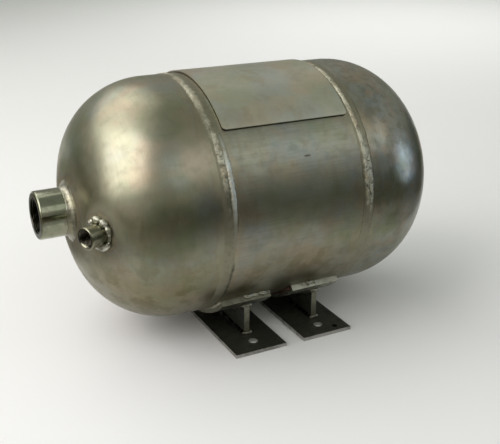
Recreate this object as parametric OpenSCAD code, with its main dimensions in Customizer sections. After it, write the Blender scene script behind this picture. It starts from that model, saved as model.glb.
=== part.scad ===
// Horizontal stainless steel pressure vessel on two welded saddle feet.
// Millimetres, +Z up. +X runs along the vessel axis, away from the main coupling.
// The origin is on the floor, at the centre of the four foot bolt holes.

/* [Shell] */
// Outside diameter of the shell and the heads
shell_od = 323.9; // [300:0.1:360]
// Wall thickness of the shell and the heads
wall = 6.4; // [4:0.1:9]
// Distance between the centre lines of the two girth welds
weld_spacing = 203.2; // [202:0.1:320]
// Middle of the shell, measured along X from the middle of the feet
shell_shift = -7; // [-12:0.5:12]

/* [Heads] */
// Straight flange of a head, from the weld centre line to the dome
head_flange = 34; // [20:0.5:60]
// Outside radius of the crown of the dome
crown_radius = 285; // [250:1:330]
// Outside radius of the knuckle between the flange and the crown
knuckle_radius = 117; // [100:1:125]

/* [Girth welds] */
// Gap at the root of the weld groove
root_gap = 2; // [1:0.5:4]
// Angle of each bevelled edge of the weld groove
bevel_angle = 30; // [20:1:35]
// Width of the weld cap on the outside
cap_width = 18; // [12:0.5:24]
// Height of the weld cap above the shell
cap_height = 2.4; // [1:0.1:4]
// Clearance of the ground weld cap round a plate that crosses it
cap_clearance = 1; // [0.5:0.1:3]
// Depth of that grinding below the surface of the shell
grind_depth = 0.1; // [0.05:0.05:0.5]

/* [Main coupling] */
// Outside diameter of the main coupling
main_od = 63.5; // [55:0.5:76]
// Bore of the main coupling, before the thread
main_bore = 44; // [30:0.1:46]
// Length of the main coupling beyond the crown
main_reach = 39.9; // [30:0.1:80]
// Length of the main coupling inside the head
main_inset = 3; // [1:0.5:20]
// Leg of the fillet weld round the main coupling
main_weld_leg = 9; // [6:0.5:12]

/* [Side coupling] */
// Outside diameter of the side coupling
side_od = 28.6; // [24:0.1:34]
// Bore of the side coupling, before the thread
side_bore = 18.1; // [10:0.1:19]
// Length of the side coupling beyond the head
side_reach = 25; // [22:0.5:50]
// Length of the side coupling inside the head
side_inset = 3; // [2:0.5:15]
// Angle between the side coupling and the vessel axis
side_angle = 24; // [22:0.5:45]
// Leg of the fillet weld round the side coupling
side_weld_leg = 8; // [5:0.5:10]

/* [Couplings] */
// Chamfer at the mouth of each bore
mouth_chamfer = 2; // [1:0.1:3]
// Broken outer edge of each coupling
edge_break = 1.6; // [0.3:0.1:2.5]

/* [Top pad] */
// Thickness of the top pad
pad_thickness = 3; // [1.5:0.1:6]
// Length of the top pad along the shell
pad_length = 180; // [60:1:184]
// Middle of the top pad, measured along X from the middle of the shell
pad_shift = 1; // [-3:0.5:3]
// Angle from the top of the shell to each long edge of the top pad
pad_half_angle = 45; // [15:1:60]
// Radius of the corners of the top pad
pad_corner = 5; // [2:0.5:12]

/* [Saddles] */
// Distance between the middles of the two saddle plates
saddle_spacing = 107; // [85:0.5:108]
// Width of a saddle plate along the shell
saddle_width = 73; // [50:0.5:74]
// Thickness of a saddle plate
saddle_thickness = 8; // [5:0.5:12]
// Angle from the bottom of the shell to each end of a saddle plate
saddle_half_angle = 43; // [40:1:60]
// Leg of the fillet weld along each side of a saddle plate
saddle_weld_leg = 4; // [2:0.5:4.5]

/* [Webs] */
// Thickness of a web
web_thickness = 8; // [5:0.5:12]
// Length of a web across the vessel
web_length = 190; // [120:1:200]
// Height of a web at the middle, under the saddle plate
web_clearance = 15.5; // [13:0.5:80]
// Offset of the front web from the middle of its base plate
front_web_offset = 2; // [-8:0.5:8]
// Offset of the rear web from the middle of its base plate
rear_web_offset = 6; // [-8:0.5:8]
// Leg of the fillet welds at the top and the foot of a web
web_weld_leg = 5; // [3:0.5:6]

/* [Base plates] */
// Distance between the middles of the two base plates
foot_spacing = 104; // [92:0.5:130]
// Width of a base plate along X
plate_width = 76.2; // [60:0.1:90]
// Length of a base plate across the vessel
plate_length = 286.4; // [270:0.1:360]
// Thickness of a base plate
plate_thickness = 4.8; // [3:0.1:12]
// Diameter of the bolt holes
hole_d = 12.7; // [8:0.1:16]
// Distance of each bolt hole from the end of its base plate
hole_inset = 25.4; // [12:0.1:26]

/* [Hidden] */
$fn = 180;
fine = 720;
eps = 0.5;
r_out = shell_od / 2;
r_in = r_out - wall;
saddle_r = r_out + saddle_thickness;
axis_height = plate_thickness + web_clearance + saddle_r;
groove_half = root_gap / 2 + wall * tan(bevel_angle);
cap_r = (cap_height * cap_height + cap_width * cap_width / 4) / (2 * cap_height);
clear_angle = asin(cap_clearance / r_out);
knuckle_x = r_out - knuckle_radius;
crown_drop = sqrt(pow(crown_radius - knuckle_radius, 2) - pow(knuckle_x, 2));
crown_y = head_flange - crown_drop;
apex = crown_y + crown_radius;
join_angle = atan2(crown_drop, knuckle_x);
main_r = main_od / 2;
side_r = side_od / 2;
web_end_angle = asin((web_length / 2 + web_weld_leg) / saddle_r);
hole_y = plate_length / 2 - hole_inset;
steel = [0.60, 0.59, 0.54];
bead = [0.68, 0.67, 0.62];
mill = [0.16, 0.16, 0.15];

// Vessel axis along X: a child's +Z becomes +X and its +X points down
module on_axis(x = 0) {
    translate([x, 0, axis_height])
        rotate([0, 90, 0])
            children();
}

// Rear end of the shell, with +Z out of the vessel from the weld centre line
module rear_end() {
    on_axis(shell_shift + weld_spacing / 2)
        children();
}

module front_end() {
    on_axis(shell_shift - weld_spacing / 2)
        mirror([0, 0, 1])
            children();
}

// Line of the side coupling, square to the knuckle, from the knuckle's centre
module side_line() {
    translate([0, -knuckle_x, head_flange])
        rotate([side_angle, 0, 0])
            children();
}

// Half sections of the knuckle and the crown, set in from the outside by the given depth
module knuckle_section(depth) {
    far = 2 * crown_radius;
    translate([knuckle_x, head_flange])
        intersection() {
            circle(r = knuckle_radius - depth, $fn = fine);
            polygon([[0, 0], [far, 0], [far * cos(join_angle), far * sin(join_angle)]]);
        }
}

module crown_section(depth) {
    far_x = 2 * crown_radius * cos(join_angle);
    far_y = 2 * crown_radius * sin(join_angle);
    intersection() {
        translate([0, crown_y])
            circle(r = crown_radius - depth, $fn = fine);
        translate([0, head_flange])
            polygon([[0, 0], [knuckle_x, 0], [knuckle_x + far_x, far_y], [0, far_y]]);
    }
}

module dome_section(depth, start) {
    translate([0, start])
        square([r_out - depth, head_flange - start]);
    knuckle_section(depth);
    crown_section(depth);
}

module head_solid() {
    rotate_extrude()
        difference() {
            dome_section(0, 0);
            dome_section(wall, -eps);
            polygon([
                [r_in - eps, -eps],
                [r_in - eps, root_gap / 2],
                [r_in, root_gap / 2],
                [r_out, groove_half],
                [r_out + eps, groove_half],
                [r_out + eps, -eps]
            ]);
        }
}

// Threaded coupling along Z, with a chamfered mouth and a broken outer edge that leaves half of the rim flat
module coupling(outer, bore, low, high) {
    rim = outer - bore - mouth_chamfer;
    edge = min(edge_break, rim / 2);
    rotate_extrude()
        polygon([
            [bore, low],
            [outer, low],
            [outer, high - edge],
            [outer - edge, high],
            [bore + mouth_chamfer, high],
            [bore, high - mouth_chamfer]
        ]);
}

module girth_weld() {
    rotate_extrude()
        union() {
            polygon([
                [r_in, -root_gap / 2],
                [r_out, -groove_half],
                [r_out, groove_half],
                [r_in, root_gap / 2]
            ]);
            intersection() {
                translate([r_out + cap_height - cap_r, 0])
                    circle(r = cap_r);
                translate([r_out, -cap_width])
                    square([2 * cap_height, 2 * cap_width]);
            }
        }
}

// Room for a plate on the shell, from its middle along X, its length and its half angle about an angle
module plate_room(x, length, middle, half_angle) {
    room = half_angle + clear_angle;
    on_axis(x)
        rotate([0, 0, middle - room])
            rotate_extrude(angle = 2 * room)
                translate([r_out - grind_depth, -length / 2 - cap_clearance])
                    square([2 * cap_height, length + 2 * cap_clearance]);
}

// The weld caps are ground flush where the top pad or a saddle plate would cross them
module ground_rooms() {
    saddle_room = saddle_width + 2 * saddle_weld_leg;
    plate_room(shell_shift + pad_shift, pad_length, 180, pad_half_angle);
    for (side = [-1, 1])
        plate_room(shell_shift + side * saddle_spacing / 2, saddle_room, 0, saddle_half_angle);
}

module saddle_plate(x) {
    on_axis(x)
        rotate([0, 0, -saddle_half_angle])
            rotate_extrude(angle = 2 * saddle_half_angle)
                translate([r_out, -saddle_width / 2])
                    square([saddle_thickness, saddle_width]);
}

// Fillet along one side of a saddle plate; side is -1 or 1 along X
module saddle_weld(x, side) {
    foot = side * saddle_width / 2;
    on_axis(x)
        rotate([0, 0, -saddle_half_angle])
            rotate_extrude(angle = 2 * saddle_half_angle)
                polygon([
                    [r_out, foot],
                    [r_out + saddle_weld_leg, foot],
                    [r_out, foot + side * saddle_weld_leg]
                ]);
}

module web_block(x) {
    translate([x - web_thickness / 2, -web_length / 2, plate_thickness])
        cube([web_thickness, web_length, axis_height - plate_thickness]);
}

module web(x) {
    difference() {
        web_block(x);
        on_axis(x)
            cylinder(r = saddle_r, h = 2 * web_thickness, center = true);
    }
}

// Fillet all round the top of a web, under the curve of the saddle plate
module web_top_weld(x) {
    half = web_thickness / 2;
    difference() {
        on_axis(x)
            rotate([0, 0, -web_end_angle])
                rotate_extrude(angle = 2 * web_end_angle)
                    polygon([
                        [saddle_r, -half - web_weld_leg],
                        [saddle_r, half + web_weld_leg],
                        [saddle_r + web_weld_leg, half],
                        [saddle_r + web_weld_leg, -half]
                    ]);
        web_block(x);
    }
}

// Half-width of a fillet's foot and top, as a section standing on the base plate
module fillet_section(half) {
    translate([0, plate_thickness])
        polygon([
            [-half - web_weld_leg, 0],
            [half + web_weld_leg, 0],
            [half, web_weld_leg],
            [-half, web_weld_leg]
        ]);
}

// Fillet all round the foot of a web, mitred at the corners
module web_foot_weld(x) {
    difference() {
        intersection() {
            translate([x, 0, 0])
                rotate([90, 0, 90])
                    linear_extrude(height = web_thickness + 4 * web_weld_leg, center = true)
                        fillet_section(web_length / 2);
            translate([x, 0, 0])
                rotate([90, 0, 0])
                    linear_extrude(height = web_length + 4 * web_weld_leg, center = true)
                        fillet_section(web_thickness / 2);
        }
        web_block(x);
    }
}

module base_plate(x) {
    difference() {
        translate([x - plate_width / 2, -plate_length / 2, 0])
            cube([plate_width, plate_length, plate_thickness]);
        for (side = [-1, 1])
            translate([x, side * hole_y, -eps])
                cylinder(d = hole_d, h = plate_thickness + 2 * eps);
    }
}

// Cutter that rounds one corner of the top pad; end and edge are -1 or 1
module pad_corner_cut(end, edge) {
    low_u = end > 0 ? -eps : -pad_corner;
    low_v = edge > 0 ? -pad_corner : -eps;
    rotate([0, 0, 180 + edge * pad_half_angle])
        translate([r_out - 2 * eps, 0, end * pad_length / 2])
            rotate([0, 90, 0])
                linear_extrude(height = pad_thickness + 4 * eps)
                    difference() {
                        translate([low_u, low_v])
                            square(pad_corner + eps);
                        translate([end * pad_corner, -edge * pad_corner])
                            circle(r = pad_corner);
                    }
}

module shell() {
    half_in = weld_spacing / 2 - root_gap / 2;
    half_out = weld_spacing / 2 - groove_half;
    color(steel)
        on_axis(shell_shift)
            rotate_extrude()
                polygon([[r_in, -half_in], [r_out, -half_out], [r_out, half_out], [r_in, half_in]]);
}

module front_head() {
    color(steel)
        front_end()
            difference() {
                head_solid();
                translate([0, 0, head_flange])
                    cylinder(r = main_r, h = crown_radius);
                side_line()
                    cylinder(r = side_r, h = 2 * knuckle_radius);
            }
}

module rear_head() {
    color(steel)
        rear_end()
            head_solid();
}

module front_girth_weld() {
    color(bead)
        difference() {
            front_end()
                girth_weld();
            ground_rooms();
        }
}

module rear_girth_weld() {
    color(bead)
        difference() {
            rear_end()
                girth_weld();
            ground_rooms();
        }
}

module main_coupling() {
    color(steel)
        front_end()
            coupling(main_r, main_bore / 2, apex - wall - main_inset, apex + main_reach);
}

module main_coupling_weld() {
    toe_r = main_r + main_weld_leg;
    root_y = crown_y + sqrt(pow(crown_radius, 2) - pow(main_r, 2));
    toe_y = crown_y + sqrt(pow(crown_radius, 2) - pow(toe_r, 2));
    color(bead)
        front_end()
            rotate_extrude()
                difference() {
                    polygon([
                        [main_r, root_y - main_weld_leg],
                        [main_r, root_y + main_weld_leg],
                        [toe_r, toe_y],
                        [toe_r, root_y - main_weld_leg]
                    ]);
                    translate([0, crown_y])
                        circle(r = crown_radius, $fn = fine);
                }
}

module side_coupling() {
    low = knuckle_radius - wall - side_inset;
    color(steel)
        front_end()
            side_line()
                coupling(side_r, side_bore / 2, low, knuckle_radius + side_reach);
}

module side_coupling_weld() {
    skirt = side_weld_leg + 4;
    color(bead)
        front_end()
            difference() {
                side_line()
                    rotate_extrude()
                        polygon([
                            [side_r, knuckle_radius - 4],
                            [side_r, knuckle_radius + side_weld_leg],
                            [side_r + skirt, knuckle_radius - 4]
                        ]);
                rotate_extrude()
                    knuckle_section(0);
                rotate_extrude()
                    crown_section(0);
            }
}

module top_pad() {
    color(steel)
        on_axis(shell_shift + pad_shift)
            difference() {
                rotate([0, 0, 180 - pad_half_angle])
                    rotate_extrude(angle = 2 * pad_half_angle)
                        translate([r_out, -pad_length / 2])
                            square([pad_thickness, pad_length]);
                for (end = [-1, 1])
                    for (edge = [-1, 1])
                        pad_corner_cut(end, edge);
            }
}

module front_saddle() {
    color(steel)
        saddle_plate(shell_shift - saddle_spacing / 2);
}

module rear_saddle() {
    color(steel)
        saddle_plate(shell_shift + saddle_spacing / 2);
}

module front_saddle_end_weld() {
    color(bead)
        saddle_weld(shell_shift - saddle_spacing / 2, -1);
}

module front_saddle_mid_weld() {
    color(bead)
        saddle_weld(shell_shift - saddle_spacing / 2, 1);
}

module rear_saddle_end_weld() {
    color(bead)
        saddle_weld(shell_shift + saddle_spacing / 2, 1);
}

module rear_saddle_mid_weld() {
    color(bead)
        saddle_weld(shell_shift + saddle_spacing / 2, -1);
}

module front_web() {
    color(steel)
        web(front_web_offset - foot_spacing / 2);
}

module rear_web() {
    color(steel)
        web(rear_web_offset + foot_spacing / 2);
}

module front_web_top_weld() {
    color(bead)
        web_top_weld(front_web_offset - foot_spacing / 2);
}

module rear_web_top_weld() {
    color(bead)
        web_top_weld(rear_web_offset + foot_spacing / 2);
}

module front_web_foot_weld() {
    color(bead)
        web_foot_weld(front_web_offset - foot_spacing / 2);
}

module rear_web_foot_weld() {
    color(bead)
        web_foot_weld(rear_web_offset + foot_spacing / 2);
}

module front_base_plate() {
    color(mill)
        base_plate(-foot_spacing / 2);
}

module rear_base_plate() {
    color(mill)
        base_plate(foot_spacing / 2);
}

shell();
front_head();
rear_head();
front_girth_weld();
rear_girth_weld();
main_coupling();
main_coupling_weld();
side_coupling();
side_coupling_weld();
top_pad();
front_saddle();
rear_saddle();
front_saddle_end_weld();
front_saddle_mid_weld();
rear_saddle_end_weld();
rear_saddle_mid_weld();
front_web();
rear_web();
front_web_top_weld();
rear_web_top_weld();
front_web_foot_weld();
rear_web_foot_weld();
front_base_plate();
rear_base_plate();
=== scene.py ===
import math

import bmesh
import bpy
import numpy as np
from mathutils import Matrix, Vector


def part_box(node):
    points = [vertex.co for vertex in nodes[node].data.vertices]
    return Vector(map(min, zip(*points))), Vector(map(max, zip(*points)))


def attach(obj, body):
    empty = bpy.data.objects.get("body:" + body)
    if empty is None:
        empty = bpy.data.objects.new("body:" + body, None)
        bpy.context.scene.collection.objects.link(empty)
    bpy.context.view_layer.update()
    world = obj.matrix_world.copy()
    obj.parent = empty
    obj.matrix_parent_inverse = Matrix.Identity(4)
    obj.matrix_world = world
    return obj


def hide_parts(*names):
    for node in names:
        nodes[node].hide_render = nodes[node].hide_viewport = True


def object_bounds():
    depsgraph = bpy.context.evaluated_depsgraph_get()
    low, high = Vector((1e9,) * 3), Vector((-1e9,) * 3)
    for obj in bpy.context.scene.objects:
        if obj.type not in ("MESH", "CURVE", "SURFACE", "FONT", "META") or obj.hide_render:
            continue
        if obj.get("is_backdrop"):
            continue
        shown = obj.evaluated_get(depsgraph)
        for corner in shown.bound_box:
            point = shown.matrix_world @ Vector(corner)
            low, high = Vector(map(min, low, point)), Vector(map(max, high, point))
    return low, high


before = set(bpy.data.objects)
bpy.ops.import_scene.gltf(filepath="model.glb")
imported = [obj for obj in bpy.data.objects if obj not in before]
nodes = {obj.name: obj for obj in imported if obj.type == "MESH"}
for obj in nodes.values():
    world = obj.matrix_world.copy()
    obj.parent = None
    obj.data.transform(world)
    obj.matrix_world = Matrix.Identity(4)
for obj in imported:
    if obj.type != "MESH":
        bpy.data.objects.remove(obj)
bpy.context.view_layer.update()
scene = bpy.context.scene
tau = 2 * math.pi
mm = 0.001


# low and high corner of a node's box
def boxOf(node):
    return [np.array(corner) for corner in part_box(node)]


# sizes of the vessel that the pieces below are set against
shellLow, shellHigh = boxOf("shell")
axisZ = float(shellLow[2] + shellHigh[2]) / 2
shellR = float(shellHigh[2] - shellLow[2]) / 2
frontWeldLow, frontWeldHigh = boxOf("front_girth_weld")
rearWeldLow, rearWeldHigh = boxOf("rear_girth_weld")
frontWeldX = float(frontWeldLow[0] + frontWeldHigh[0]) / 2
rearWeldX = float(rearWeldLow[0] + rearWeldHigh[0]) / 2
capHalf = float(rearWeldHigh[0] - rearWeldLow[0]) / 2
capHeight = float(rearWeldHigh[2] - rearWeldLow[2]) / 2 - shellR
head = {"flange": 34 * mm, "crown": 285 * mm, "knuckle": 117 * mm, "wall": 6.4 * mm}
knuckleX = shellR - head["knuckle"]
crownDrop = math.sqrt((head["crown"] - head["knuckle"]) ** 2 - knuckleX ** 2)
crownY = head["flange"] - crownDrop
print("frame loaded: shell radius %.1f mm, axis %.1f mm up" % (shellR / mm, axisZ / mm))


# quads between neighbours in a grid of points, wrapped round on a closed side; values ride on its points
def gridPiece(name, points, closeU=False, closeV=False, sharp=None, values=None):
    nu, nv = points.shape[:2]
    iu = np.arange(nu if closeU else nu - 1)
    iv = np.arange(nv if closeV else nv - 1)
    a, b = np.meshgrid(iu, iv, indexing="ij")
    a2, b2 = (a + 1) % nu, (b + 1) % nv
    quads = np.stack([a * nv + b, a2 * nv + b, a2 * nv + b2, a * nv + b2], -1).reshape(-1, 4)
    mesh = bpy.data.meshes.new(name)
    mesh.vertices.add(nu * nv)
    mesh.vertices.foreach_set("co", points.astype(np.float32).ravel())
    mesh.loops.add(quads.size)
    mesh.loops.foreach_set("vertex_index", quads.astype(np.int32).ravel())
    mesh.polygons.add(len(quads))
    mesh.polygons.foreach_set("loop_start", np.arange(0, quads.size, 4, dtype=np.int32))
    mesh.update(calc_edges=True)
    setValues(mesh, values or {})
    work = bmesh.new()
    work.from_mesh(mesh)
    bmesh.ops.remove_doubles(work, verts=work.verts, dist=1e-6)
    bmesh.ops.dissolve_degenerate(work, edges=work.edges, dist=1e-7)
    bmesh.ops.recalc_face_normals(work, faces=work.faces)
    work.to_mesh(mesh)
    work.free()
    mesh.polygons.foreach_set("use_smooth", np.ones(len(mesh.polygons), bool))
    if sharp:
        mesh.set_sharp_from_angle(angle=math.radians(sharp))
    piece = bpy.data.objects.new(name, mesh)
    scene.collection.objects.link(piece)
    return piece


# one number per point of a mesh under each label
def setValues(mesh, values):
    for label, value in values.items():
        layer = mesh.attributes.new(label, "FLOAT", "POINT")
        layer.data.foreach_set("value", value.astype(np.float32).ravel())


def ridePiece(piece, slot, material, *stoodFor):
    piece.data.materials.append(material)
    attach(piece, "root")
    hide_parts(*stoodFor)
    return piece


# a sum of waves along a run: each has its own strength and start, and those of a closed run fit it whole
def waviness(run, length, lengths, strength, draw):
    out = np.zeros_like(run)
    for wave in lengths:
        count = max(1, round(length / wave))
        out += draw.uniform(0.5, 1) * np.cos(tau * count * run / length + draw.uniform(0, tau))
    return strength * out / max(1, len(lengths))


# a row of weld drops along a run: each is half an ellipsoid of its own size and place across, where t runs
# from -1 to 1, and the tallest at a spot shows
def dropRow(run, t, length, spacing, reach, draw):
    count = max(4, round(length / spacing))
    pitch = length / count
    at = (np.arange(count) + draw.uniform(-0.4, 0.4, count)) * pitch
    aside = draw.uniform(-0.35, 0.35, count)
    size = draw.uniform(0.6, 1.0, count)
    first = np.floor(run / pitch).astype(int)
    best = np.zeros_like(run)
    for near in (-1, 0, 1, 2):
        drop = (first + near) % count
        gap = (run - at[drop] + length / 2) % length - length / 2
        away = (gap / (reach * pitch)) ** 2 + ((t - aside[drop]) / 1.5) ** 2
        best = np.maximum(best, size[drop] * np.sqrt(np.clip(1 - away, 0, 1)))
    return best


# single lumps round a closed run, each with its angle, half width in degrees and size; the tallest shows
def lumpRow(run, t, length, lumps):
    best = np.zeros(np.broadcast_shapes(run.shape, t.shape))
    for at, half, size in lumps:
        gap = (360 * run / length - at + 180) % 360 - 180
        best = np.maximum(best, size * np.sqrt(np.clip(1 - (gap / half) ** 2 - (t / 1.4) ** 2, 0, 1)))
    return best


# a crumbled grid: random heights blurred over a few neighbours both ways, with a spread of 1 about 0
def crumble(shape, blur, draw):
    field = draw.normal(size=shape)
    for axis in (0, 1):
        field = sum(np.roll(field, shift, axis) for shift in range(-blur, blur + 1))
    return field / field.std()


def unit(v):
    return v / np.maximum(np.linalg.norm(v, axis=-1, keepdims=True), 1e-12)


# shader helpers: each makes a node in the tree of the sockets that feed it, fed by sockets or plain numbers
def put(tree, kind, **values):
    made = tree.nodes.new(kind)
    for key, value in values.items():
        setattr(made, key, value)
    return made


def isSocket(value):
    return isinstance(value, bpy.types.NodeSocket)


def treeOf(*values):
    return next(value.id_data for value in values if isSocket(value))


def feed(socket, value):
    if isSocket(value):
        socket.id_data.links.new(value, socket)
    elif value is not None:
        socket.default_value = value


def wire(kind, *args, **values):
    made = put(treeOf(*args), kind, **values)
    for socket, value in zip(made.inputs, args):
        feed(socket, value)
    return made.outputs


def calc(operation, *args):
    return wire("ShaderNodeMath", *args, operation=operation)[0]


def plus(a, b):
    return calc("ADD", a, b)


def minus(a, b):
    return calc("SUBTRACT", a, b)


def times(a, b):
    return calc("MULTIPLY", a, b)


def square(a):
    return calc("POWER", a, 2.0)


def absolute(a):
    return calc("ABSOLUTE", a)


def vectorCalc(operation, *args):
    return wire("ShaderNodeVectorMath", *args, operation=operation)


# a base with a share of a mask on top
def addShare(base, mask, share):
    return plus(base, times(mask, share))


# a soft rise from 0 to 1 between two values, and a soft fall from 1 to 0
def step(value, low, high):
    return wire("ShaderNodeMapRange", value, low, high, interpolation_type="SMOOTHSTEP")[0]


def fall(value, low, high):
    return minus(1.0, step(value, low, high))


def split(vector):
    return wire("ShaderNodeSeparateXYZ", vector)


def join(x, y, z):
    return wire("ShaderNodeCombineXYZ", x, y, z)[0]


def noise(vector, scale, detail, rough=0.5, fourth=None):
    made = put(treeOf(vector), "ShaderNodeTexNoise", noise_dimensions="3D" if fourth is None else "4D")
    if fourth is not None:
        feed(made.inputs["W"], fourth)
    for label, value in (("Vector", vector), ("Scale", scale), ("Detail", detail), ("Roughness", rough)):
        feed(made.inputs[label], value)
    return made.outputs[0]


def mixColour(factor, a, b):
    made = put(treeOf(factor), "ShaderNodeMix", data_type="RGBA")
    feed(made.inputs[0], factor)
    for slot, value in ((6, a), (7, b)):
        feed(made.inputs[slot], value if isSocket(value) else (*value, 1))
    return made.outputs[2]


# a colour with another laid over it by a mask and its weight
def tint(colour, over, mask, weight):
    return mixColour(times(mask, weight), colour, over)


def shade(colour, share):
    return tuple(share * c for c in colour)


# a node group that takes a point and some numbers and gives numbers, or a colour where its name says so
def newGroup(name, numbers, outputs):
    tree = bpy.data.node_groups.new(name, "ShaderNodeTree")
    tree.interface.new_socket("Vector", in_out="INPUT", socket_type="NodeSocketVector")
    for label, value in numbers.items():
        tree.interface.new_socket(label, in_out="INPUT", socket_type="NodeSocketFloat").default_value = value
    for label in outputs:
        kind = "NodeSocketColor" if label == "Colour" else "NodeSocketFloat"
        tree.interface.new_socket(label, in_out="OUTPUT", socket_type=kind)
    return tree, put(tree, "NodeGroupInput").outputs, put(tree, "NodeGroupOutput").inputs


def place(group, **values):
    made = put(treeOf(*values.values()), "ShaderNodeGroup", node_tree=group)
    for key, value in values.items():
        feed(made.inputs[key], value)
    return made.outputs


# vessel coordinates of a point: the run along the axis, the arc from the top and the distance from the axis
vesselPlace, given, got = newGroup("vesselPlace", {}, ("Along", "Arc", "Radius"))
x, y, z = split(given[0])
rise = minus(z, axisZ)
feed(got[0], x)
feed(got[1], times(calc("ARCTAN2", y, rise), shellR))
feed(got[2], calc("SQRT", plus(square(y), square(rise))))

# stains of a worked steel surface: broad warm, green and cool patches, smears and small specks; each is a
# cloud with its own shift, fineness, detail and limits
steelStain, given, got = newGroup("steelStain", {"Size": 0.06}, ("Warm", "Green", "Cool", "Dark", "Speck"))
cells = calc("DIVIDE", 1.0, given[1])
for socket, (shift, finer, detail, low, high) in zip(got, (
        ((0.0, 0.0, 0.0), 1.0, 3, 0.47, 0.64), ((3.7, 1.9, 5.3), 1.0, 3, 0.47, 0.64),
        ((7.1, 4.4, 2.6), 1.0, 3, 0.47, 0.64), ((5.9, 8.2, 1.3), 2.3, 5, 0.46, 0.70),
        ((1.7, 6.1, 9.4), 20.0, 2, 0.62, 0.76))):
    shifted = vectorCalc("ADD", given[0], shift)[0]
    feed(socket, step(noise(shifted, times(cells, finer), detail, 0.55), low, high))

# run marks: stains that trail down a side, narrow across and long in height
runMarks, given, got = newGroup("runMarks", {"Width": 0.02}, ("Mask",))
x, y, z = split(given[0])
cells = calc("DIVIDE", 1.0, given[1])
trail = noise(join(times(x, cells), times(y, cells), times(z, times(cells, 0.28))), 1.0, 4, 0.6)
feed(got[0], step(trail, 0.50, 0.68))

# sanding marks: long fine streaks along or round the vessel over a faint even grain, and slow waves of the
# plate; the streaks are noise in the run, the two ways across and the distance from the axis, so they close
# all round, and they fade out at the middle of a head
sandedGrain, given, got = newGroup(
    "sandedGrain", {"Wave": 1.0, "Along": 900.0, "Round": 40.0}, ("Height", "Streak"))
radius = place(vesselPlace, Vector=given[0])["Radius"]
x, y, z = split(given[0])
streakAt = join(times(x, given["Along"]), times(y, given["Round"]), times(z, given["Round"]))
streak = noise(streakAt, 1.0, 3, 0.6, times(radius, given["Along"]))
streak = plus(0.5, times(minus(streak, 0.5), step(radius, 0.012, 0.07)))
fine = addShare(times(streak, 0.5), noise(given[0], 1400.0, 2), 0.35)
slow = times(noise(given[0], 16.0, 2), given["Wave"])
feed(got[0], addShare(fine, slow, 30.0))
feed(got[1], streak)

# heat colours beside a weld, by the distance from its toe: straw, then brown, then blue, then none
heatTint, given, got = newGroup("heatTint", {"Distance": 0.0, "Width": 0.012}, ("Colour", "Mask"))
wander = minus(noise(given[0], 38.0, 4, 0.6), 0.5)
share = addShare(calc("DIVIDE", given[1], given[2]), wander, 3.6)
bands = put(heatTint, "ShaderNodeValToRGB")
feed(bands.inputs[0], share)
stops = bands.color_ramp.elements
for at, colour in ((0.1, (0.34, 0.315, 0.225)), (0.4, (0.29, 0.235, 0.155)),
                   (0.7, (0.27, 0.28, 0.27)), (0.95, (0.325, 0.318, 0.235))):
    stops.new(at).color = (*colour, 1)
stops.remove(stops[0])
stops.remove(stops[-1])
feed(got[0], bands.outputs[0])
feed(got[1], fall(share, 0.45, 1.1))


def newMaterial(name, metallic=1.0):
    material = bpy.data.materials.new(name)
    material.use_nodes = True
    shader = material.node_tree.nodes["Principled BSDF"]
    shader.inputs["Metallic"].default_value = metallic
    return material, shader, put(material.node_tree, "ShaderNodeTexCoord").outputs["Object"]


# colour, gloss and a bumped height on a shader
def dress(shader, colour, roughness, height, distance, normal=None):
    feed(shader.inputs["Base Color"], colour)
    feed(shader.inputs["Roughness"], roughness)
    made = put(shader.id_data, "ShaderNodeBump")
    for label, value in (("Strength", 1.0), ("Distance", distance), ("Height", height), ("Normal", normal)):
        feed(made.inputs[label], value)
    feed(shader.inputs["Normal"], made.outputs[0])


def pointValue(shader, label):
    return put(shader.id_data, "ShaderNodeAttribute", attribute_name=label).outputs["Fac"]


# a single blot: full inside an oval about a spot of two coordinates, with a soft edge
def blot(across, along, look):
    parts = []
    for value, middle, half in zip((across, along), look["at"], look["half"]):
        parts.append(square(absolute(calc("DIVIDE", minus(value, middle), half))))
    return fall(plus(*parts), 0.4, 1.3)


headBlots = (
    {"at": (frontWeldX - 33 * mm, -152 * mm), "half": (24 * mm, 38 * mm), "colour": (0.43, 0.355, 0.275)},
    {"at": (frontWeldX - 26 * mm, -224 * mm), "half": (17 * mm, 32 * mm), "colour": (0.23, 0.245, 0.22)},
    {"at": (frontWeldX - 62 * mm, -100 * mm), "half": (30 * mm, 30 * mm), "colour": (0.22, 0.24, 0.16)})
shellScar = {"at": (9.3 * mm, -174.2 * mm), "half": (5.4 * mm, 1.5 * mm)}
plateDarkSpot = {"at": (70.9 * mm, -131.5 * mm), "half": (4.2 * mm, 4.6 * mm)}

# the top pad's outline: distance outside a rectangle with round corners, in run and arc
padLow, padHigh = boxOf("top_pad")
padFace = {"corner": 5 * mm, "halfAngle": 45.0, "thick": 3 * mm, "line": 0.65 * mm}
padMidX = float(padLow[0] + padHigh[0]) / 2
padHalfX = float(padHigh[0] - padLow[0]) / 2
padHalfArc = shellR * math.radians(padFace["halfAngle"])
padOutline, given, got = newGroup("padOutline", {}, ("Distance",))
where = place(vesselPlace, Vector=given[0])
over = [minus(absolute(minus(value, middle)), half - padFace["corner"])
        for value, middle, half in ((where["Along"], padMidX, padHalfX), (where["Arc"], 0.0, padHalfArc))]
outside = calc("SQRT", plus(*[square(calc("MAXIMUM", v, 0.0)) for v in over]))
inside = calc("MINIMUM", calc("MAXIMUM", *over), 0.0)
feed(got[0], minus(plus(outside, inside), padFace["corner"]))

# shared satin colours and shares; the dark yellow-brown bottom colour and its two heights paint shade towards
# the bottom of the vessel
# the near-black and pale pad-edge colours and their shares paint shade and a highlight along the top pad's
# edge
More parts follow.
